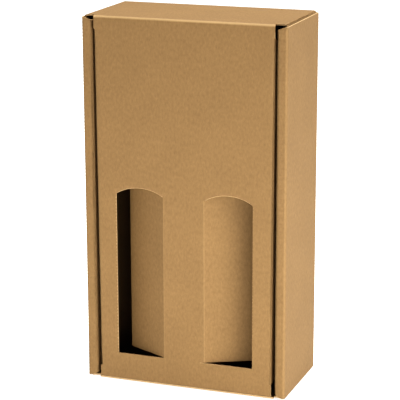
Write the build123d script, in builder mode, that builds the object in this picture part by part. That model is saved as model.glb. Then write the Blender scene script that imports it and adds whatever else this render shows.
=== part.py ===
from build123d import *
import os
from math import cos, radians, sin, sqrt, tan

# Gift box for two wine bottles, die-cut and folded from one sheet of fine corrugated board.
# It stands on its small end.  The origin is on the floor under the middle of the box,
# X runs to the right as seen from the front, Y to the back and Z up.
# Everything is in millimetres.

# Outside of the closed box
box_width = 203.0
box_depth = 100.0
box_height = 360.0

# Board and its folds
board = 1.5                 # thickness of the board
crease_radius = 0.9         # inside radius of a folded crease
hinge_gap = 0.4             # room between a swinging panel's rounded edge and its neighbour
layer_play = 0.3            # room between two loose layers of board that lie side by side

# Hollow side walls: outer wall, narrow front strip and inner wall
side_wall_width = 10.3
side_wall_inset = 2.0       # how far the side walls stop short of the box's top and bottom
strip_slant = 3.0           # how much further a strip's end is cut back at its inner fold
tab_length = 40.0           # locking tabs of the inner walls, in slots in the back
tab_spacing = 180.0         # between the middles of a wall's two tabs
tab_bevel = 0.8             # on the leading corners of a tab

# End walls and their ears
ear_length = 62.0           # how far an ear reaches down the hollow side wall
ear_front_setback = 10.0    # from the front of the box to the ear's side
ear_back_setback = 6.0      # from the back of the box to the ear's other side
ear_corner_radius = 12.0
corner_relief = 3.5         # at the rear corners, between an ear's fold and the back's fold
corner_notch = 6.5          # depth of an end wall's front corner notches
notch_side_gap = 0.5        # from the lid's side edge to the notch
floor_edge_setback = 2.5    # bottom wall's front edge, behind the front of the box

# Lid, which is the front panel
lid_gap_top = 2.0           # gap between the lid and a strip, at the hinge
lid_gap_low = 3.4           # the same at the lower end
side_flap_depth = 26.0
side_flap_end_gap = 12.0    # from the lid's two ends to the side flaps
side_flap_bevel = 9.0       # slant of a side flap's ends
tuck_length = 32.0
tuck_rise_angle = 3.5       # how far the tuck flap springs up off the bottom wall, in degrees
tuck_side_gap = 5.0         # from the lid's side edges to the tuck flap
tuck_corner_radius = 16.0

# The two bottle windows and the flaps cut out of them
window_width = 48.4         # hinge line to far edge, in the middle of its half of the lid
window_sill = 28.4          # height of the windows' lower edge
window_crown = 196.5        # height of the windows' arched top
window_arch_rise = 7.1
cut_width = 0.5             # room round a flap where it was cut from its window
crease_relief = 1.5         # level cut at the upper end of a flap's crease
flap_rest_angle = 27.0      # how far the flaps stand open, in degrees

# Places that follow from these sizes
half_width = box_width / 2
half_height = box_height / 2
front = -box_depth / 2
back = box_depth / 2
fold_radius = crease_radius + board
mid = board / 2             # from a face of the board to its middle
mid_radius = crease_radius + mid
inner_face = half_width - side_wall_width
inner_wall_end = back - board - layer_play
ear_face = half_width - board - layer_play
end_wall_front = front + board + hinge_gap
hinge_y = front + mid
hinge_z = box_height - mid
lid_low = board + hinge_gap
lid_half_top = inner_face - lid_gap_top
lid_half_low = inner_face - lid_gap_low
flap_hinge = (lid_half_top - window_width) / 2
knuckle_reach = mid + hinge_gap

front_plane = Plane(origin=(0, front, 0), x_dir=(1, 0, 0), z_dir=(0, -1, 0))
middle_plane = Plane.XY.offset(half_height)


def lid_half_width(height):
    """Half the lid's width, which narrows evenly from the hinge down."""
    return lid_half_top - (lid_gap_low - lid_gap_top) * (hinge_z - height) / (hinge_z - lid_low)


def arch_height(from_middle, trim):
    """Height of a window's arched top, drawn in by trim, at a distance from its middle."""
    arch_radius = ((window_width / 2) ** 2 + window_arch_rise**2) / (2 * window_arch_rise)
    return window_crown - arch_radius + sqrt((arch_radius - trim) ** 2 - from_middle**2)


def arched_outline(plane, near, far, low, middle, trim):
    """Straight sides on a level sill under one shallow arc, cut level beside the crease."""
    arc_start = middle - window_width / 2 + crease_relief
    near_top = arch_height(middle - arc_start, trim)
    far_top = arch_height(far - middle, trim)
    with BuildSketch(plane) as outline:
        with BuildLine():
            Polyline((arc_start, near_top), (near, near_top), (near, low), (far, low), (far, far_top))
            ThreePointArc((arc_start, near_top), (middle, arch_height(0, trim)), (far, far_top))
        make_face()
    return outline.sketch


# Ears: a quarter fold off each side of an end wall, and a plate in the hollow side wall

with BuildPart() as ears:
    with BuildSketch(Plane.XZ.offset(corner_relief - back)):
        with BuildLine():
            FilletPolyline(
                (ear_face - 2 * fold_radius, box_height - mid),
                (ear_face - mid, box_height - mid),
                (ear_face - mid, box_height - 2 * fold_radius),
                radius=mid_radius,
            )
        trace(line_width=board)
    extrude(amount=back - corner_relief - end_wall_front)

    with BuildSketch(Plane.YZ.offset(ear_face)):
        with Locations((front + ear_front_setback, box_height - fold_radius)):
            ear = Rectangle(
                box_depth - ear_front_setback - ear_back_setback,
                ear_length - fold_radius,
                align=(Align.MIN, Align.MAX),
            )
        fillet(ear.vertices().group_by(Axis.Y)[0], radius=ear_corner_radius)
    extrude(amount=-board)
    mirror(about=Plane.YZ)
    mirror(about=middle_plane)

# Back and the two end walls: one section bent at the back's upper and lower folds, with the ears

with BuildPart() as end_walls:
    with BuildSketch(Plane.YZ):
        with BuildLine():
            FilletPolyline(
                (end_wall_front, box_height - mid),
                (back - mid, box_height - mid),
                (back - mid, mid),
                (front + floor_edge_setback, mid),
                radius=mid_radius,
            )
        trace(line_width=board)
    extrude(amount=ear_face - fold_radius, both=True)
    add(ears.part)

    # Notches that clear the corners of the lid and of the side walls' strips
    with BuildSketch(Plane.XY.offset(box_height)):
        with BuildLine():
            notch_side = Line(
                (lid_half_top + notch_side_gap, front),
                (lid_half_top + notch_side_gap, front + corner_notch),
            )
            TangentArc(notch_side @ 1, (half_width, end_wall_front), tangent=(1, 0))
            Polyline((half_width, end_wall_front), (half_width, front), notch_side @ 0)
        make_face()
        mirror(about=Plane.YZ)
    notches = extrude(amount=-2 * fold_radius, mode=Mode.SUBTRACT)
    mirror(notches, about=middle_plane, mode=Mode.SUBTRACT)

# Tray: the fixed part of the folded sheet

with BuildPart() as tray:
    # Back, outer walls, front strips and inner walls are one bent section
    with BuildSketch(Plane.XY.offset(side_wall_inset)):
        with BuildLine():
            FilletPolyline(
                (0, back - mid),
                (half_width - mid, back - mid),
                (half_width - mid, front + mid),
                (inner_face + mid, front + mid),
                (inner_face + mid, inner_wall_end),
                radius=mid_radius,
            )
        trace(line_width=board)
        mirror(about=Plane.YZ)
    extrude(amount=box_height - 2 * side_wall_inset)

    # The strips and inner walls are cut back at a slant at both ends
    with BuildSketch(front_plane):
        strip_top = box_height - side_wall_inset
        with BuildLine():
            Polyline(
                (half_width - fold_radius, box_height),
                (half_width - fold_radius, strip_top),
                (inner_face, strip_top - strip_slant),
                (inner_face - board, strip_top - strip_slant),
                (inner_face - board, box_height),
                close=True,
            )
        make_face()
        mirror(about=Plane.YZ)
    strip_cut = extrude(amount=front - inner_wall_end, mode=Mode.PRIVATE)
    add(strip_cut, mode=Mode.SUBTRACT)
    mirror(strip_cut, about=middle_plane, mode=Mode.SUBTRACT)

    add(end_walls.part)

    # Slots in the back, and the inner walls' tabs that lock into them
    tab_heights = (half_height - tab_spacing / 2, half_height + tab_spacing / 2)
    with BuildSketch(front_plane.offset(-box_depth)):
        with Locations(*[(inner_face + mid, height) for height in tab_heights]):
            Rectangle(board + 2 * layer_play, tab_length + 2 * layer_play)
        mirror(about=Plane.YZ)
    extrude(amount=board, mode=Mode.SUBTRACT)
    with BuildSketch(Plane.YZ.offset(inner_face)):
        with Locations(*[(inner_wall_end, height) for height in tab_heights]):
            Rectangle(back - inner_wall_end, tab_length, align=(Align.MIN, Align.CENTER))
        chamfer(vertices().group_by(Axis.Y)[-1], length=tab_bevel)
    tabs = extrude(amount=board)
    mirror(tabs, about=Plane.YZ)

# Side flap of the lid, on its right: a quarter fold and a plate that turns into the box

with BuildPart() as side_flap:
    flap_low = lid_low + side_flap_end_gap
    flap_high = hinge_z - side_flap_end_gap
    low_edge = lid_half_width(flap_low)
    high_edge = lid_half_width(flap_high)
    with BuildSketch(Plane.XY.offset(flap_low)):
        with BuildLine():
            FilletPolyline(
                (low_edge - 2 * fold_radius, front + mid),
                (low_edge - mid, front + mid),
                (low_edge - mid, front + side_flap_depth),
                radius=mid_radius,
            )
        trace(line_width=board)
    extrude(amount=flap_high - flap_low, dir=(high_edge - low_edge, 0, flap_high - flap_low))

    # Both ends of the plate slant towards its free edge
    with BuildSketch(Plane.YZ.offset(lid_half_top)):
        for level, way in ((flap_low, 1), (flap_high, -1)):
            with BuildLine():
                Polyline(
                    (front + fold_radius, level),
                    (front + side_flap_depth, level),
                    (front + side_flap_depth, level + way * side_flap_bevel),
                    close=True,
                )
            make_face()
    extrude(amount=-2 * fold_radius - lid_gap_low, mode=Mode.SUBTRACT)

# Lid: rounded hinge edge, panel, lower fold and tuck flap in one section, then its side flaps

with BuildPart() as lid:
    with BuildSketch(Plane.YZ):
        with BuildLine():
            FilletPolyline(
                (hinge_y, hinge_z),
                (hinge_y, lid_low + mid),
                (hinge_y + tuck_length, lid_low + mid + tuck_length * tan(radians(tuck_rise_angle))),
                radius=mid_radius,
            )
        trace(line_width=board)
        with Locations((hinge_y, hinge_z)):
            Circle(mid)
    extrude(amount=lid_half_top, both=True)

    # Sides of the panel taper, and give way to the side flaps' folds
    with BuildSketch(front_plane):
        with BuildLine():
            Polyline(
                (lid_half_top, box_height),
                (lid_half_width(flap_high), flap_high),
                (lid_half_width(flap_high) - fold_radius, flap_high),
                (lid_half_width(flap_low) - fold_radius, flap_low),
                (lid_half_width(flap_low), flap_low),
                (lid_half_low, 0),
                (half_width, 0),
                (half_width, box_height),
                close=True,
            )
        make_face()
        mirror(about=Plane.YZ)
    extrude(amount=-fold_radius, mode=Mode.SUBTRACT)
    add(side_flap.part)
    mirror(side_flap.part, about=Plane.YZ)

    # Tuck flap, narrower than the lid, is cut to length with rounded free corners
    with BuildSketch(Plane.XY):
        with BuildLine():
            tuck_edge = FilletPolyline(
                (lid_half_low - tuck_side_gap, front + fold_radius),
                (lid_half_low - tuck_side_gap, front + tuck_length),
                (0, front + tuck_length),
                radius=tuck_corner_radius,
            )
            Polyline(
                tuck_edge @ 1,
                (0, hinge_y + 2 * tuck_length),
                (half_width, hinge_y + 2 * tuck_length),
                (half_width, front + fold_radius),
                tuck_edge @ 0,
            )
        make_face()
        mirror(about=Plane.YZ)
    extrude(amount=flap_low, mode=Mode.SUBTRACT)

    # Windows, each up to the hinge of its flap
    window_middle = flap_hinge + window_width / 2
    window = arched_outline(
        front_plane, flap_hinge - knuckle_reach, flap_hinge + window_width, window_sill, window_middle, 0
    )
    cutter = extrude(window, amount=-2 * board, mode=Mode.SUBTRACT)
    mirror(cutter, about=Plane.YZ, mode=Mode.SUBTRACT)


# Bottle flaps: each was cut from its window and swings about the window's inner edge

flap_turn = radians(flap_rest_angle)
flap_plane = Plane(
    origin=(flap_hinge, hinge_y, 0),
    x_dir=(cos(flap_turn), sin(flap_turn), 0),
    z_dir=(sin(flap_turn), -cos(flap_turn), 0),
)

with BuildPart() as right_bottle_flap:
    flap_face = arched_outline(
        flap_plane, 0, window_width - cut_width, window_sill + cut_width, window_width / 2, cut_width
    )
    extrude(flap_face, amount=mid, both=True)
    with BuildSketch(Plane.XY.offset(window_sill + cut_width)):
        with Locations((flap_hinge, hinge_y)):
            Circle(mid)
    knuckle_top = arch_height(window_width / 2 - crease_relief, cut_width)
    extrude(amount=knuckle_top - window_sill - cut_width)

with BuildPart() as left_bottle_flap:
    mirror(right_bottle_flap.part, about=Plane.YZ)

os.makedirs("parts", exist_ok=True)

tray.part.label = "tray"
export_step(tray.part, "parts/tray.step")

lid.part.label = "lid"
export_step(lid.part, "parts/lid.step")

left_bottle_flap.part.label = "left_bottle_flap"
export_step(left_bottle_flap.part, "parts/left_bottle_flap.step")

right_bottle_flap.part.label = "right_bottle_flap"
export_step(right_bottle_flap.part, "parts/right_bottle_flap.step")
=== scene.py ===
import math

import bmesh
import bpy
from mathutils import Matrix, Vector, noise
from mathutils.bvhtree import BVHTree
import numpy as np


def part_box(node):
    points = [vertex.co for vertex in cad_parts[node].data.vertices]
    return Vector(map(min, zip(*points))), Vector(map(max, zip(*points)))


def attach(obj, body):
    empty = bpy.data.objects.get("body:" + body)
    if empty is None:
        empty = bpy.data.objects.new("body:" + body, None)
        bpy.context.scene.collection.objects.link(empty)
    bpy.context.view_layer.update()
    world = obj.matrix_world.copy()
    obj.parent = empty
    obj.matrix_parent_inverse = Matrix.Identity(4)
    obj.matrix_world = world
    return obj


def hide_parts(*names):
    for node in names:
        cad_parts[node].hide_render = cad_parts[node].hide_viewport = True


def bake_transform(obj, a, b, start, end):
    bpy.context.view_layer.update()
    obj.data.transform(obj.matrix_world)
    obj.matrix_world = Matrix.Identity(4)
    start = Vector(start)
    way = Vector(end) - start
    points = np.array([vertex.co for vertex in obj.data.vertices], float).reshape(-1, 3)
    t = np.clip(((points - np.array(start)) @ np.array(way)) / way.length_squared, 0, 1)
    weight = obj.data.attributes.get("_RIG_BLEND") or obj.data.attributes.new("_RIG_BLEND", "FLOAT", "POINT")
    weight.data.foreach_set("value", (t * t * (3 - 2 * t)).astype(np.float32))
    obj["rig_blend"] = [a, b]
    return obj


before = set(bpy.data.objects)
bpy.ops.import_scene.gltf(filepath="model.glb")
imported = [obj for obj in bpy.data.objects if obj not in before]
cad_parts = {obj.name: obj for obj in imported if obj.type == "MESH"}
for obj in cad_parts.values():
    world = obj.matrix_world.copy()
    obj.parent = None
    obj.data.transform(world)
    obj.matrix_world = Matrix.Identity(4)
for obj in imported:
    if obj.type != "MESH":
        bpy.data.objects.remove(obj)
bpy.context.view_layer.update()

# Tray: the back, both end walls and the hollow side walls, all fixed once the box is made up.
# It is brown kraft liner on fluted paper, cut, creased and folded, and locked by tabs in the back.
# Its upright folds run across the flutes, so each one is pressed into a row of small ribs.

board = 0.0015
flute_pitch = 0.0033
crease_radius = 0.0009
fold_radius = crease_radius + board
box_low, box_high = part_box("tray")
box_middle = (box_low + box_high) / 2
along_y, along_z = 1, 2

# Corners within a weld of each other are one, and a cut takes in corners within a hair.
weld = 0.00001
hair = 0.000001

# Shares of a unit normal or of an edge's length, for telling which way a face or an edge lies.
almost_nil = 0.02
almost_whole = 0.99
mostly = 0.9


def whole_panels(node):
    """A copy of a CAD node's mesh, with its loose triangles merged into whole panels.

    A face about as wide as the board is thick, with more board behind it, is a cut edge.
    """
    flat = math.radians(0.5)
    sheet = bmesh.new()
    sheet.from_mesh(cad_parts[node].data)
    bmesh.ops.remove_doubles(sheet, verts=sheet.verts, dist=weld)
    bmesh.ops.dissolve_limit(sheet, angle_limit=flat, verts=sheet.verts, edges=sheet.edges)
    sheet.normal_update()
    tree = BVHTree.FromBMesh(sheet)
    deep, narrow, far_off = 1.25 * board, 1.2 * board, 1.0
    for face in sheet.faces:
        start = face.calc_center_median_weighted() - face.normal * weld
        board_behind = tree.ray_cast(start, -face.normal)[3] or far_off
        width = 2 * face.calc_area() / face.calc_perimeter()
        is_cut = board_behind > deep and width < narrow
        face.material_index = 1 if is_cut else 0
    return sheet


def score(sheet, distance):
    """Sets a narrow strip apart beside the upright folds, so that the ribs stay off the panels."""
    for side in (-1, 1):
        whole = sheet.verts[:] + sheet.edges[:] + sheet.faces[:]
        bmesh.ops.bisect_plane(
            sheet, geom=whole, dist=hair, plane_co=(side * distance, 0, 0), plane_no=(1, 0, 0)
        )


def is_fold(face, axis):
    """True for a narrow facet of a rounded fold whose crease runs along an axis."""
    clearly_turned = 0.05
    normal = face.normal
    turned = sorted(abs(normal[i]) for i in range(3) if i != axis)
    return abs(normal[axis]) < almost_nil and turned[0] > clearly_turned


def runs_along(edge, axis):
    """True for an edge that lies along an axis."""
    run = edge.verts[0].co - edge.verts[1].co
    return abs(run[axis]) > mostly * run.length


def is_convex(face, axis):
    """True on the outer side of a fold."""
    for edge in face.edges:
        if runs_along(edge, axis) and edge.calc_face_angle_signed(0) > almost_nil:
            return True
    return False


def between_crests(distance):
    """How far a spot lies from the flutes' crests: 0 on a crest, 1 halfway to the next."""
    return 0.5 - 0.5 * math.cos(2 * math.pi * distance / flute_pitch)


def mark(sheet, name):
    """The layer of a sheet's corners that holds one of the marks read by the paper's material."""
    layers = sheet.verts.layers.float
    return layers.get(name) or layers.new(name)


def rib_folds(sheet, axis, chosen, depth=0.00022, steps_per_flute=5):
    """Presses the chosen folds in between the crests, and marks the liner as bent and ribbed."""
    crease = mark(sheet, "crease")
    ribs = mark(sheet, "ribs")

    def picked():
        facets = [face for face in sheet.faces if is_fold(face, axis) and chosen(face)]
        return [face for face in facets if is_convex(face, axis)]

    shortest_rib_row = 10 * flute_pitch
    long_edges = set()
    for face in picked():
        for edge in face.edges:
            if runs_along(edge, axis) and edge.calc_length() > shortest_rib_row:
                long_edges.add(edge)
    longest = max(edge.calc_length() for edge in long_edges)
    cuts = round(longest / flute_pitch * steps_per_flute)
    bmesh.ops.subdivide_edges(sheet, edges=list(long_edges), cuts=cuts, use_grid_fill=True)
    sheet.normal_update()

    bends = {}
    for face in picked():
        for vert in face.verts:
            bends.setdefault(vert, []).append(face.normal.copy())
    uneven_waves = 90
    wear_and_highlight = 0.12
    for vert, normals in bends.items():
        if any(not is_fold(face, axis) for face in vert.link_faces):
            continue
        outward = sum(normals, Vector()).normalized()
        bend = 2 * abs(outward[0] * outward[3 - axis])
        unevenness = 1 + 0.5 * noise.noise(vert.co * uneven_waves)
        vert.co -= outward * depth * bend * between_crests(vert.co[axis]) * unevenness
        # Bent corners get the pale crease mark: partly stretched liner, partly a painted highlight on the
        # fold.
        vert[crease] = wear_and_highlight * bend
        vert[ribs] = 1


def lay_out(sheet):
    """Gives every face its place on the flat sheet, in metres: along the flutes, then across."""
    place = sheet.loops.layers.uv.new("sheet")
    for face in sheet.faces:
        nx, ny, nz = (abs(c) for c in face.normal)
        for loop in face.loops:
            x, y, z = loop.vert.co
            if nz > max(nx, ny):
                loop[place].uv = (x, y)
            else:
                loop[place].uv = (x, z) if ny >= nx else (y, z)


dark_kraft = (0.223, 0.134, 0.051, 1)
pale_kraft = (0.290, 0.180, 0.074, 1)
middle_kraft = (0.256, 0.156, 0.063, 1)
fleck_brown = (0.26, 0.14, 0.05, 1)
worn_liner_and_highlight = (0.62, 0.43, 0.22, 1)
raw_fibre_and_rim_highlight = (0.62, 0.44, 0.24, 1)
cloud_shades = (0.955, 0.95, 0.945, 1), (1.03, 1.03, 1.035, 1)
fibre_shades = (0.93, 0.925, 0.92, 1), (1.06, 1.065, 1.07, 1)
middle_share = 0.3
most_fleck = 0.22
most_worn_and_highlight = 0.55
raw_share = 0.7
grain_depth, grain_strength = 0.00006, 0.35
ridge_depth, ridge_strength = 0.00012, 1.0
ridge_on_panels = 0.06


def kraft(name, cut_edge=False):
    """Uncoated kraft liner: cloudy, with fibres across the flutes and faint ridges over them."""
    material = bpy.data.materials.new(name)
    material.use_nodes = True
    nodes, links = material.node_tree.nodes, material.node_tree.links
    paper = nodes["Principled BSDF"]
    paper.inputs["Roughness"].default_value = 0.78
    paper.inputs["Specular IOR Level"].default_value = 0.5
    place = nodes.new("ShaderNodeUVMap")
    place.uv_map = "sheet"
    spot = nodes.new("ShaderNodeTexCoord")

    def pattern(source, scale, detail, stretch=(1, 1, 1)):
        """A noise with its waves per metre, drawn out where its stretch is under 1."""
        turned = nodes.new("ShaderNodeMapping")
        turned.inputs["Scale"].default_value = stretch
        links.new(source, turned.inputs["Vector"])
        made = nodes.new("ShaderNodeTexNoise")
        made.inputs["Scale"].default_value = scale
        made.inputs["Detail"].default_value = detail
        made.inputs["Roughness"].default_value = 0.6
        links.new(turned.outputs["Vector"], made.inputs["Vector"])
        return made.outputs["Fac"]

    def spread(source, low=0.3, high=0.7, to_low=0.0, to_high=1.0):
        """Maps one range to another. Most of a noise lies between 0.3 and 0.7."""
        made = nodes.new("ShaderNodeMapRange")
        made.inputs["From Min"].default_value = low
        made.inputs["From Max"].default_value = high
        made.inputs["To Min"].default_value = to_low
        made.inputs["To Max"].default_value = to_high
        links.new(source, made.inputs["Value"])
        return made.outputs["Result"]

    def mixed(how, base, top, factor):
        """One colour laid over another. Each input is a value or another node's output."""
        factor_in, base_in, top_in, colour_out = 0, 6, 7, 2
        made = nodes.new("ShaderNodeMix")
        made.data_type = "RGBA"
        made.blend_type = how
        for index, value in ((factor_in, factor), (base_in, base), (top_in, top)):
            if isinstance(value, bpy.types.NodeSocket):
                links.new(value, made.inputs[index])
            else:
                made.inputs[index].default_value = value
        return made.outputs[colour_out]

    def marked(layer):
        """The mark that the sheet's corners carry in a layer, from 0 to 1."""
        made = nodes.new("ShaderNodeAttribute")
        made.attribute_name = layer
        return made.outputs["Fac"]

    def relief(height, depth, strength, over=None):
        """A fine relief that only the light shows, laid over another one if there is one."""
        made = nodes.new("ShaderNodeBump")
        made.inputs["Strength"].default_value = strength
        made.inputs["Distance"].default_value = depth
        links.new(height, made.inputs["Height"])
        if over is not None:
            links.new(over, made.inputs["Normal"])
        return made.outputs["Normal"]

    flat = place.outputs["UV"]
    clouds = spread(pattern(spot.outputs["Object"], scale=22, detail=3))
    mottle = spread(pattern(flat, scale=430, detail=4, stretch=(1, 0.55, 1)))
    fibres = spread(pattern(flat, scale=1700, detail=2, stretch=(1, 0.16, 1)))
    flecks = spread(pattern(flat, scale=900, detail=1, stretch=(1, 0.35, 1)), 0.66, 0.74)

    colour = mixed("MIX", dark_kraft, pale_kraft, mottle)
    colour = mixed("MIX", colour, middle_kraft, middle_share)
    colour = mixed("MULTIPLY", colour, mixed("MIX", *cloud_shades, clouds), 1.0)
    colour = mixed("MULTIPLY", colour, mixed("MIX", *fibre_shades, fibres), 1.0)
    colour = mixed("MIX", colour, fleck_brown, spread(flecks, 0, 1, 0, most_fleck))
    # The creases are paler: partly stretched liner, partly a painted highlight where the folds would catch
    # the light.
    colour = mixed("MIX", colour, worn_liner_and_highlight, spread(marked("crease"), 0, 1, 0, most_worn_and_highlight))
    # Cut edges show paler raw fibre. On the windows' rolled rims this pale colour is also a painted
    # highlight.
    if cut_edge:
        colour = mixed("MIX", colour, raw_fibre_and_rim_highlight, raw_share)
    links.new(colour, paper.inputs["Base Color"])

    # The wave texture multiplies its place by 20, so this scale gives one ridge per flute.
    ridges = nodes.new("ShaderNodeTexWave")
    ridges.wave_type = "BANDS"
    ridges.bands_direction = "Y"
    ridges.inputs["Scale"].default_value = 2 * math.pi / flute_pitch / 20
    links.new(flat, ridges.inputs["Vector"])
    ridge_height = nodes.new("ShaderNodeMath")
    ridge_height.operation = "MULTIPLY"
    links.new(ridges.outputs["Fac"], ridge_height.inputs[0])
    links.new(spread(marked("ribs"), 0, 1, ridge_on_panels, 1), ridge_height.inputs[1])
    grain = relief(fibres, grain_depth, grain_strength)
    ribbed = relief(ridge_height.outputs["Value"], ridge_depth, ridge_strength, over=grain)
    links.new(ribbed, paper.inputs["Normal"])
    return material


kraft_liner = kraft("kraft_liner")
kraft_edge = kraft("kraft_edge", cut_edge=True)


def finished(sheet, name):
    """Turns a folded sheet into an object: smooth over its folds, crisp at its cut edges."""
    crisp = math.radians(30)
    for face in sheet.faces:
        face.smooth = True
    for edge in sheet.edges:
        edge.smooth = len(edge.link_faces) == 2 and edge.calc_face_angle(0) < crisp
    mesh = bpy.data.meshes.new(name)
    sheet.to_mesh(mesh)
    sheet.free()
    mesh.materials.append(kraft_liner)
    mesh.materials.append(kraft_edge)
    piece = bpy.data.objects.new(name, mesh)
    bpy.context.scene.collection.objects.link(piece)
    even = piece.modifiers.new("even_panels", "WEIGHTED_NORMAL")
    even.mode = "FACE_AREA"
    even.weight = 100
    even.keep_sharp = True
    return piece


# The end wall over the lid stops short of the lid's crease. A bent piece takes over there.
tray_sheet = whole_panels("tray")
lid_low, lid_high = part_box("lid")
crease_reach = 0.0065
hinge_wall_front = box_low.y + crease_reach
for vert in tray_sheet.verts:
    in_front = vert.co.y < hinge_wall_front and vert.co.z > box_high.z - 2 * board
    if in_front and abs(vert.co.x) < lid_high.x + board / 2:
        vert.co.y = hinge_wall_front
bmesh.ops.dissolve_degenerate(tray_sheet, dist=weld, edges=tray_sheet.edges)
bmesh.ops.remove_doubles(tray_sheet, verts=tray_sheet.verts, dist=weld)

ear_fold_width = 0.0045
ear_score = 0.0048
wall_width = 0.0105
wall_inside = box_high.x - wall_width
end_margin = 0.002
score(tray_sheet, box_high.x - ear_score)
tray_sheet.normal_update()


def on_side_wall(face):
    """A fold of a side wall, outside its hollow."""
    middle = face.calc_center_median()
    at_front = middle.y < box_low.y + fold_radius
    at_back = middle.y > box_high.y - fold_radius
    between_ends = abs(middle.z - box_middle.z) < box_middle.z - end_margin
    return abs(middle.x) > wall_inside and (at_front or at_back) and between_ends


def on_ear(face):
    """The fold between an end wall and its ear."""
    middle = face.calc_center_median()
    at_end = abs(middle.z - box_middle.z) > box_middle.z - fold_radius
    return abs(middle.x) > box_high.x - ear_fold_width and at_end


rib_folds(tray_sheet, along_z, on_side_wall, depth=0.0003)
rib_folds(tray_sheet, along_y, on_ear)
strip_ribs = mark(tray_sheet, "ribs")
for vert in tray_sheet.verts:
    on_strip = abs(vert.co.x) > wall_inside - fold_radius
    if vert.co.y < box_low.y + mostly * fold_radius and on_strip:
        vert[strip_ribs] = 1
lay_out(tray_sheet)
tray_board = finished(tray_sheet, "tray_board")
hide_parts("tray")
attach(tray_board, "tray")

# Lid: the front panel with its two arched windows, side flaps and tuck flap.
# It is part of the same sheet, with the flutes across it, so they end at its upright cut edges.
# There the two liners stand apart and a wave of thin paper shows between them.

liner = 0.00021
open_depth = 0.0045
near = 0.0001

# The panel stops below its crease, where the same bent piece takes over from the end wall.
lid_sheet = whole_panels("lid")
crease_drop = 0.007
lid_cut_height = box_high.z - crease_drop
for vert in lid_sheet.verts:
    if vert.co.z > lid_cut_height:
        vert.co.z = lid_cut_height

# It also stops beside the flaps' creases, each of which has a bent piece of its own.
flap_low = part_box("right_bottle_flap")[0]
hinge_x = flap_low.x + board / 2
hinge_y = box_low.y + board / 2
hinge_gap = 0.0004
crease_lap = 0.003
slot_x = hinge_x - crease_lap
slot_heights = []
for vert in lid_sheet.verts:
    beside_flap = abs(abs(vert.co.x) - (flap_low.x - hinge_gap)) < near
    if beside_flap and vert.co.y < hinge_y + board:
        slot_heights.append(vert.co.z)
        vert.co.x = math.copysign(slot_x, vert.co.x)
sill_height, slot_top = min(slot_heights), max(slot_heights)
lid_sheet.normal_update()


def rolled_rim(sheet, width=0.0004):
    """Rounds the front rim of the arches and sills, where the knife pushed the liner over."""
    side_margin = 0.012
    arch_room = 0.02
    sill_room = 0.001
    under_arch, on_sill = -0.3, 0.9
    rim = []
    for edge in sheet.edges:
        fronts = [face for face in edge.link_faces if face.normal.y < -almost_whole]
        leans = [face.normal.z for face in edge.link_faces]
        cuts = [lean for lean in leans if lean < under_arch or lean > on_sill]
        middle = (edge.verts[0].co + edge.verts[1].co) / 2
        beside_hinge = hinge_x < abs(middle.x) < lid_high.x - side_margin
        in_window = sill_height - sill_room < middle.z < slot_top + arch_room
        if fronts and cuts and beside_hinge and in_window:
            rim.append(edge)
    rounded = bmesh.ops.bevel(
        sheet,
        geom=rim,
        offset=width,
        segments=2,
        profile=0.5,
        affect="EDGES",
        material=-1,
        clamp_overlap=True,
    )
    # The rolled rim takes the pale cut-edge paper: partly raw fibre, partly a painted highlight along the
    # arches and sills.
    for face in rounded["faces"]:
        face.material_index = 1


rolled_rim(lid_sheet)
lid_sheet.normal_update()


def opened_edge(sheet, face):
    """Opens a cut edge between its liners. Returns its ends, its outward way and the board's."""
    outward = face.normal.copy()
    longest = max(face.edges, key=lambda edge: edge.calc_length())
    ends = sorted((vert.co.copy() for vert in longest.verts), key=lambda end: end.z)
    across = (ends[1] - ends[0]).cross(outward).normalized()
    spots = [(vert.co - ends[0]).dot(across) for vert in face.verts]
    to_middle = across * (min(spots) + max(spots)) / 2
    centred = [end + to_middle for end in ends]
    bmesh.ops.inset_individual(sheet, faces=[face], thickness=liner, use_even_offset=True)
    opened = bmesh.ops.extrude_discrete_faces(sheet, faces=[face])["faces"]
    bmesh.ops.translate(sheet, verts=opened[0].verts, vec=-outward * open_depth)
    return centred[0], centred[1], outward, across


# The whole sides of the windows and flaps are longer than this. Their arches' pieces are shorter.
tall = 0.1


def upright_edges(sheet, chosen):
    """The tall, narrow faces where the board was cut across its flutes."""
    found = []
    for face in sheet.faces:
        heights = [vert.co.z for vert in face.verts]
        is_upright = abs(face.normal.z) < almost_nil
        if max(heights) - min(heights) > tall and is_upright and chosen(face):
            found.append(face)
    return found


side_flap_depth = 0.026
side_flap_edge = lid_low.y + side_flap_depth
window_width = 0.0484
beside = 0.0005


def crosses_flutes(face):
    """A window's outer side, or the free edge of a side flap."""
    middle = face.calc_center_median()
    normal = face.normal
    at_window = abs(abs(middle.x) - (hinge_x + window_width)) < beside
    at_flap_edge = abs(middle.y - side_flap_edge) < beside
    window_side = at_window and abs(normal.x) > almost_whole
    return window_side or (at_flap_edge and normal.y > almost_whole)


lid_edges = [opened_edge(lid_sheet, face) for face in upright_edges(lid_sheet, crosses_flutes)]


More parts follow.
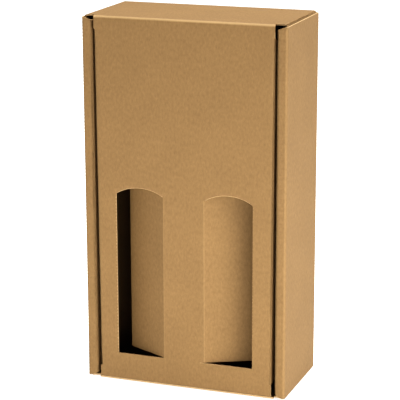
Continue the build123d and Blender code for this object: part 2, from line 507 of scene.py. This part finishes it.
def bitten_edge(sheet, side, depth=0.0007, steps_per_flute=8):
    """Lets the front liner fall back between the crests, as the cutting knife leaves it."""
    edge_x = side * (hinge_x + window_width)
    liner_back = box_low.y + liner + near / 2
    corner_room = 0.001
    ragged_waves = 700

    def on_liner(vert):
        return abs(vert.co.x - edge_x) < 2 * near and vert.co.y < liner_back

    rows = [edge for edge in sheet.edges if edge.calc_length() > tall]
    rows = [edge for edge in rows if all(on_liner(vert) for vert in edge.verts)]
    heights = [vert.co.z for edge in rows for vert in edge.verts]
    low, high = min(heights), max(heights)
    cuts = round((high - low) / flute_pitch * steps_per_flute)
    bmesh.ops.subdivide_edges(sheet, edges=rows, cuts=cuts, use_grid_fill=True)
    for vert in sheet.verts:
        if on_liner(vert) and low + corner_room < vert.co.z < high - corner_room:
            off_crest = 0.5 - 0.5 * side * math.sin(2 * math.pi * vert.co.z / flute_pitch)
            ragged = 0.8 + 0.5 * noise.noise(Vector((side, 0, vert.co.z * ragged_waves)))
            vert.co.x += side * depth * off_crest * ragged


for side in (-1, 1):
    bitten_edge(lid_sheet, side)
lid_sheet.normal_update()


def on_side_flap(face):
    """The fold between the lid and a side flap, outside."""
    middle = face.calc_center_median()
    at_side = abs(middle.x) > lid_high.x - fold_radius - board
    return at_side and middle.y < lid_low.y + fold_radius


score(lid_sheet, lid_high.x - fold_radius - board - near)
rib_folds(lid_sheet, along_z, on_side_flap)
lay_out(lid_sheet)
lid_board = finished(lid_sheet, "lid_board")
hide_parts("lid")
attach(lid_board, "lid")

# Bottle flaps: each was cut from its window on three sides and pushed in, to part the bottles.
# They are single panels of the same board, and show the flutes' ends along their free edges.

flap_reach = 0.0015
flap_turn = math.radians(27)


def flap_way(side):
    """The direction from a flap's hinge to its free edge, on the right (1) or the left (-1)."""
    return Vector((side * math.cos(flap_turn), math.sin(flap_turn), 0))


flap_edges = {}
for side, node, body in (
    (-1, "left_bottle_flap", "left_flap"),
    (1, "right_bottle_flap", "right_flap"),
):
    flap_sheet = whole_panels(node)
    knuckle_top = max(vert.co.z for vert in flap_sheet.verts if abs(vert.co.x) < hinge_x)
    way = flap_way(side)
    bmesh.ops.bisect_plane(
        flap_sheet,
        geom=flap_sheet.verts[:] + flap_sheet.edges[:] + flap_sheet.faces[:],
        dist=hair,
        plane_co=Vector((side * hinge_x, hinge_y, 0)) + way * flap_reach,
        plane_no=way,
        clear_inner=True,
    )
    open_rim = [edge for edge in flap_sheet.edges if edge.is_boundary]
    bmesh.ops.holes_fill(flap_sheet, edges=open_rim)
    flap_sheet.normal_update()
    free = upright_edges(flap_sheet, lambda face: face.normal.dot(way) > almost_whole)
    flap_edges[body] = [opened_edge(flap_sheet, face) for face in free]
    lay_out(flap_sheet)
    mark(flap_sheet, "crease")
    flap_board = finished(flap_sheet, node + "_board")
    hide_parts(node)
    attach(flap_board, body)

# Creases that swing: the board runs on across them, so each is a short bent piece of the sheet
# between two bodies. On the real box a crease is only a line pressed in the board, where the
# liner is stretched and shows paler; here that paler colour is also partly a painted highlight.


def verts_of(drawn):
    """The corners among the parts that an operator returns."""
    return [part for part in drawn if isinstance(part, bmesh.types.BMVert)]


def edge_of(drawn):
    """The edge among the parts that an operator returns."""
    return next(part for part in drawn if isinstance(part, bmesh.types.BMEdge))


def bent_board(start, across, centre, turn_axis, turn, lead, tail, steps=8):
    """The section of a sheet that runs straight, bends about a centre and runs straight again."""
    sheet = bmesh.new()
    ends = [sheet.verts.new(start), sheet.verts.new(start + across)]
    edge = sheet.edges.new(ends)
    drawn = bmesh.ops.extrude_edge_only(sheet, edges=[edge])["geom"]
    bmesh.ops.translate(sheet, verts=verts_of(drawn), vec=lead)
    edge = edge_of(drawn)
    bent = bmesh.ops.spin(
        sheet,
        geom=[edge, *edge.verts],
        cent=centre,
        axis=turn_axis,
        angle=turn,
        steps=steps,
        use_merge=False,
    )["geom_last"]
    drawn = bmesh.ops.extrude_edge_only(sheet, edges=[edge_of(bent)])["geom"]
    bmesh.ops.translate(sheet, verts=verts_of(drawn), vec=tail)
    bmesh.ops.remove_doubles(sheet, verts=sheet.verts, dist=hair)
    return sheet


def draw_out(sheet, way, steps):
    """Draws a section out into a solid strip, cut into equal steps along its length."""
    drawn = bmesh.ops.extrude_face_region(sheet, geom=sheet.faces[:], use_keep_orig=True)["geom"]
    bmesh.ops.translate(sheet, verts=verts_of(drawn), vec=way)
    long_edges = [edge for edge in sheet.edges if edge.calc_length() > mostly * way.length]
    bmesh.ops.subdivide_edges(sheet, edges=long_edges, cuts=steps - 1, use_grid_fill=True)
    bmesh.ops.recalc_face_normals(sheet, faces=sheet.faces)


half_lid = lid_high.x
lid_crease_steps = 90
fold_centre = Vector((0, box_low.y + fold_radius, box_high.z - fold_radius))
lid_crease_sheet = bent_board(
    start=Vector((-half_lid, hinge_wall_front, box_high.z)),
    across=Vector((0, 0, -board)),
    centre=fold_centre,
    turn_axis=(1, 0, 0),
    turn=math.pi / 2,
    lead=Vector((0, box_low.y + fold_radius - hinge_wall_front, 0)),
    tail=Vector((0, 0, lid_cut_height - box_high.z + fold_radius)),
)
draw_out(lid_crease_sheet, Vector((2 * half_lid, 0, 0)), lid_crease_steps)

waviness = 0.00016
waves_per_metre = 60
noise_row = 3.1
crease_layer = mark(lid_crease_sheet, "crease")
for vert in lid_crease_sheet.verts:
    from_centre = vert.co - fold_centre
    from_centre.x = 0
    on_bend = from_centre.y < -weld and from_centre.z > weld
    if on_bend and from_centre.length > crease_radius + board / 2:
        outward = from_centre.normalized()
        bend = 2 * abs(outward.y * outward.z)
        wave_spot = Vector((vert.co.x * waves_per_metre, noise_row, 0))
        # The lid's crease gets the full pale crease mark: partly stretched liner, partly a painted highlight
        # along the fold.
        vert[crease_layer] = bend
        vert.co += outward * bend * waviness * noise.noise(wave_spot)
lay_out(lid_crease_sheet)
lid_crease = finished(lid_crease_sheet, "lid_crease")
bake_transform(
    lid_crease,
    "tray",
    "lid",
    start=(0, box_low.y + fold_radius, box_high.z),
    end=(0, box_low.y, box_high.z - fold_radius),
)

# A flap is a little lower than its slot in the lid, so its crease narrows past the hinge.
flap_bend_start = (fold_radius - board / 2) * math.tan(flap_turn / 2)
crease_width = 0.0012
rib_depth = 0.00015
blend_depth = 0.0003
steps_per_flute = 5
wear_and_highlight = 0.3
for side, body in ((-1, "left_flap"), (1, "right_flap")):
    way = flap_way(side)
    bend_x = side * (hinge_x - flap_bend_start)
    centre = Vector((bend_x, box_low.y + fold_radius, sill_height))
    flap_crease_sheet = bent_board(
        start=Vector((side * slot_x, box_low.y, sill_height)),
        across=Vector((0, board, 0)),
        centre=centre,
        turn_axis=(0, 0, 1),
        turn=side * flap_turn,
        lead=Vector((bend_x - side * slot_x, 0, 0)),
        tail=way * (flap_reach - flap_bend_start),
        steps=5,
    )
    slot_height = slot_top - sill_height
    crease_steps = round(slot_height / flute_pitch * steps_per_flute)
    draw_out(flap_crease_sheet, Vector((0, 0, slot_height)), crease_steps)
    crease_layer = mark(flap_crease_sheet, "crease")
    for vert in flap_crease_sheet.verts:
        past_hinge = (abs(vert.co.x) - hinge_x) / (flap_reach * math.cos(flap_turn))
        past_hinge = min(1, max(0, past_hinge))
        if vert.co.z < sill_height + weld:
            vert.co.z += past_hinge * (flap_low.z - sill_height)
        if vert.co.z > slot_top - weld:
            vert.co.z -= past_hinge * (slot_top - knuckle_top)
        from_centre = vert.co - centre
        from_centre.z = 0
        is_outer = from_centre.length > crease_radius + board / 2
        if is_outer and abs(vert.co.x) < hinge_x + crease_width:
            beyond = (abs(vert.co.x) - abs(bend_x)) / (fold_radius * math.sin(flap_turn))
            bend = math.sin(math.pi * min(1, max(0, beyond)))
            inward = -from_centre.normalized()
            vert.co += inward * rib_depth * bend * between_crests(vert.co.z)
            # The flap's crease gets a weaker pale mark: partly stretched liner, partly a painted highlight.
            vert[crease_layer] = wear_and_highlight * bend
    lay_out(flap_crease_sheet)
    flap_crease = finished(flap_crease_sheet, body + "_crease")
    hinge_line = Vector((side * hinge_x, box_low.y, 0))
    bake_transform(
        flap_crease,
        "lid",
        body,
        start=(bend_x, box_low.y, 0),
        end=hinge_line + Vector((side * flap_bend_start, blend_depth, 0)),
    )

# Fluted paper: the wave between the liners, seen where the board was cut across its flutes.
# The real one is one thin sheet, glued to both liners at its crests.

medium = 0.00018
edge_setback = 0.0001
slot_clearance = 0.0002


def fluting(name, edge, body, steps_per_flute=12):
    """A wave of paper along an opened cut edge, drawn into the board."""
    low, high, outward, across = edge
    run = high - low
    length = run.length
    run.normalize()
    wave = bmesh.new()
    swing = board / 2 - liner - medium / 2
    steps = round(length / flute_pitch * steps_per_flute)
    verts = []
    for i in range(steps + 1):
        spot = low + run * (length * i / steps)
        phase = 2 * math.pi * spot.z / flute_pitch
        crest = spot + across * swing * math.sin(phase) - outward * edge_setback
        verts.append(wave.verts.new(crest))
    edges = [wave.edges.new(pair) for pair in zip(verts, verts[1:])]
    drawn = bmesh.ops.extrude_edge_only(wave, edges=edges)["geom"]
    depth = open_depth - slot_clearance
    bmesh.ops.translate(wave, verts=verts_of(drawn), vec=-outward * depth)
    wave.normal_update()
    lay_out(wave)
    mesh = bpy.data.meshes.new(name)
    wave.to_mesh(mesh)
    wave.free()
    for polygon in mesh.polygons:
        polygon.use_smooth = True
    mesh.materials.append(kraft_edge)
    paper = bpy.data.objects.new(name, mesh)
    bpy.context.scene.collection.objects.link(paper)
    thick = paper.modifiers.new("paper_thickness", "SOLIDIFY")
    thick.thickness = medium
    thick.offset = 0
    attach(paper, body)


for number, edge in enumerate(lid_edges, 1):
    fluting(f"lid_flutes_{number}", edge, "lid")
for body, edges in flap_edges.items():
    for number, edge in enumerate(edges, 1):
        fluting(f"{body}_flutes_{number}", edge, body)

# Floor: a white photographer's table, plain and without an edge in sight.
# It glows a little, which is painted light, and glows less under the box, a painted contact shadow, so that
# it comes out white as in the photo.

floor_reach = 12
floor_drop = 0.0002
glow_edge = 0.25
# Near the box the floor glows less: a painted contact shadow.
glow_in_painted_shadow, glow_around = 0.5, 0.74

floor_mesh = bpy.data.meshes.new("floor")
floor_form = bmesh.new()
bmesh.ops.create_grid(floor_form, x_segments=1, y_segments=1, size=floor_reach)
bmesh.ops.translate(floor_form, verts=floor_form.verts, vec=(0, 0, -floor_drop))
floor_form.to_mesh(floor_mesh)
floor_form.free()
floor = bpy.data.objects.new("floor", floor_mesh)
bpy.context.scene.collection.objects.link(floor)
floor_paint = bpy.data.materials.new("pale_floor")
floor_paint.use_nodes = True
floor_nodes, floor_links = floor_paint.node_tree.nodes, floor_paint.node_tree.links
floor_coat = floor_nodes["Principled BSDF"]
floor_coat.inputs["Base Color"].default_value = (0.55, 0.55, 0.55, 1)
floor_coat.inputs["Roughness"].default_value = 0.9
floor_coat.inputs["Emission Color"].default_value = (1, 1, 1, 1)
floor_spot = floor_nodes.new("ShaderNodeTexCoord")
from_box = floor_nodes.new("ShaderNodeVectorMath")
from_box.operation = "LENGTH"
floor_glow = floor_nodes.new("ShaderNodeMapRange")
floor_glow.interpolation_type = "SMOOTHSTEP"
floor_glow.inputs["From Min"].default_value = 0.0
floor_glow.inputs["From Max"].default_value = glow_edge
floor_glow.inputs["To Min"].default_value = glow_in_painted_shadow
floor_glow.inputs["To Max"].default_value = glow_around
floor_links.new(floor_spot.outputs["Object"], from_box.inputs[0])
floor_links.new(from_box.outputs["Value"], floor_glow.inputs["Value"])
floor_links.new(floor_glow.outputs["Result"], floor_coat.inputs["Emission Strength"])
floor_mesh.materials.append(floor_paint)

# Lights: a white studio that is bright at the horizon and dark overhead, and four soft boxes.
# The large one hangs overhead, the key stands at the front right, and two low cards fill in.

bright_horizon, dark_above = 0.85, 0.02
dark_from_height = 0.4

world = bpy.data.worlds.new("studio")
world.use_nodes = True
world_nodes, world_links = world.node_tree.nodes, world.node_tree.links
ray = world_nodes.new("ShaderNodeTexCoord")
ray_parts = world_nodes.new("ShaderNodeSeparateXYZ")
dimmed = world_nodes.new("ShaderNodeMapRange")
dimmed.interpolation_type = "SMOOTHSTEP"
dimmed.inputs["From Min"].default_value = 0.0
dimmed.inputs["From Max"].default_value = dark_from_height
dimmed.inputs["To Min"].default_value = bright_horizon
dimmed.inputs["To Max"].default_value = dark_above
world_nodes["Background"].inputs["Color"].default_value = (1, 1, 1, 1)
world_links.new(ray.outputs["Generated"], ray_parts.inputs["Vector"])
world_links.new(ray_parts.outputs["Z"], dimmed.inputs["Value"])
world_links.new(dimmed.outputs["Result"], world_nodes["Background"].inputs["Strength"])
bpy.context.scene.world = world
bpy.context.scene.view_settings.view_transform = "Standard"
bpy.context.scene.view_settings.look = "High Contrast"


def soft_light(name, spot, aim, size, power):
    """A soft box that faces a point, with its width and height."""
    light = bpy.data.lights.new(name, "AREA")
    light.shape = "RECTANGLE"
    light.size, light.size_y = size
    light.energy = power
    lamp = bpy.data.objects.new(name, light)
    lamp.location = spot
    lamp.rotation_euler = (Vector(aim) - Vector(spot)).to_track_quat("-Z", "Y").to_euler()
    lamp.visible_camera = False
    bpy.context.scene.collection.objects.link(lamp)


upper_box, middle_box, box_foot = (0, 0, 0.3), (0, 0, 0.2), (0, 0, 0.02)
soft_light("overhead", spot=(0.1, 0.35, 2.2), aim=upper_box, size=(1.2, 1.2), power=52)
soft_light("key", spot=(1.19, -0.68, 1.35), aim=middle_box, size=(0.8, 0.8), power=10)
soft_light("right_card", spot=(0.62, -0.22, 0.04), aim=box_foot, size=(0.6, 0.08), power=1.5)
soft_light("front_card", spot=(0.05, -0.48, 0.03), aim=box_foot, size=(0.8, 0.06), power=1.3)

# Camera: at the photograph's viewing angle, from a fit to the box's edges, folds and windows.
# It has no shift, so that the other views keep the box in the middle.

camera_spot = Vector((0.54687, -1.48914, 0.59214))
camera_yaw, camera_pitch, camera_roll = (math.radians(a) for a in (20.2216, 14.6715, -0.1772))
sensor_width = 36
photo_width = 400
focal_length = 1686.9

camera_data = bpy.data.cameras.new("camera")
camera_data.sensor_width = sensor_width
camera_data.lens = sensor_width * focal_length / photo_width
camera = bpy.data.objects.new("camera", camera_data)
camera.matrix_world = (
    Matrix.Translation(camera_spot)
    @ Matrix.Rotation(camera_yaw, 4, "Z")
    @ Matrix.Rotation(math.pi / 2 - camera_pitch, 4, "X")
    @ Matrix.Rotation(camera_roll, 4, "Z")
)
bpy.context.scene.collection.objects.link(camera)
bpy.context.scene.camera = camera
